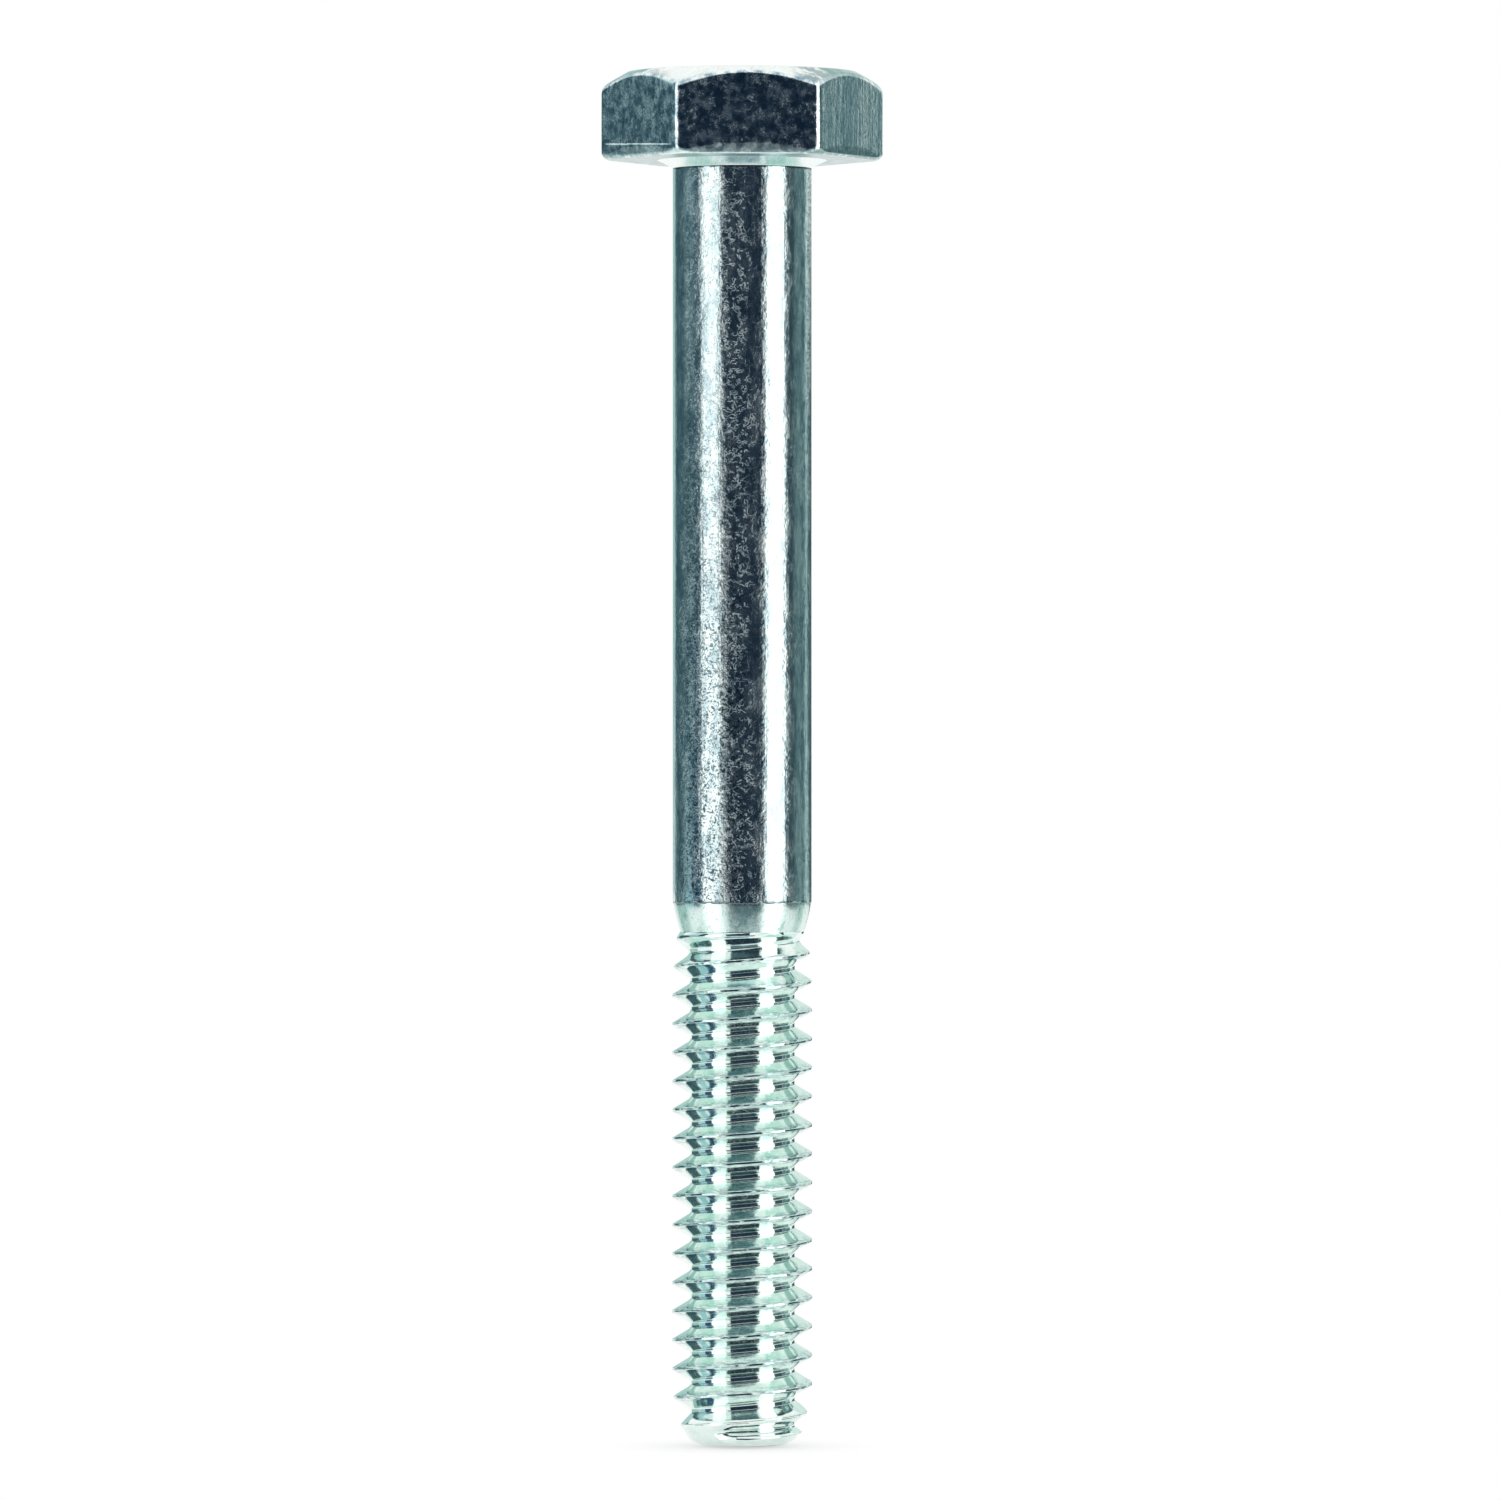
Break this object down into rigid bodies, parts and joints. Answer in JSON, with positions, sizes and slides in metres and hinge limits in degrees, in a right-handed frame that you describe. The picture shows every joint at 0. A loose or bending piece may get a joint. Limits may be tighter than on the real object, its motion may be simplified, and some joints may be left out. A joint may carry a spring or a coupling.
{
  "type": "hex bolt",
  "caption": "Partly threaded hex bolt: chamfered hexagonal head, plain shank tapering to a right-hand coarse thread with a flat chamfered point, zinc plated.",
  "frame": {"origin": "centre of the bearing face under the head, on the bolt's axis", "axes": "+Z along the bolt's axis, out of the top of the head; two of the wrench flats face +Y and -Y, and two corners of the head point along +X and -X"},
  "size_m": [0.0124, 0.011, 0.0608],
  "materials": {
    "head_plating": "blue-bright zinc plating over a trimmed head, with fine upright shear marks on the flats",
    "shank_plating": "blue-bright zinc plating over a smooth drawn shank, finely speckled",
    "pale_plating": "pale satin zinc plating over pressed surfaces",
    "thread_plating": "satin zinc plating over a rolled thread, with a seam along the crests"
  },
  "bodies": {
    "root": {"hex_head": "head_plating", "underhead_fillet": "pale_plating", "shank": "shank_plating", "shank_taper": "pale_plating", "thread_runout": "thread_plating", "thread": "thread_plating", "point": "thread_plating"}
  },
  "joints": []
}
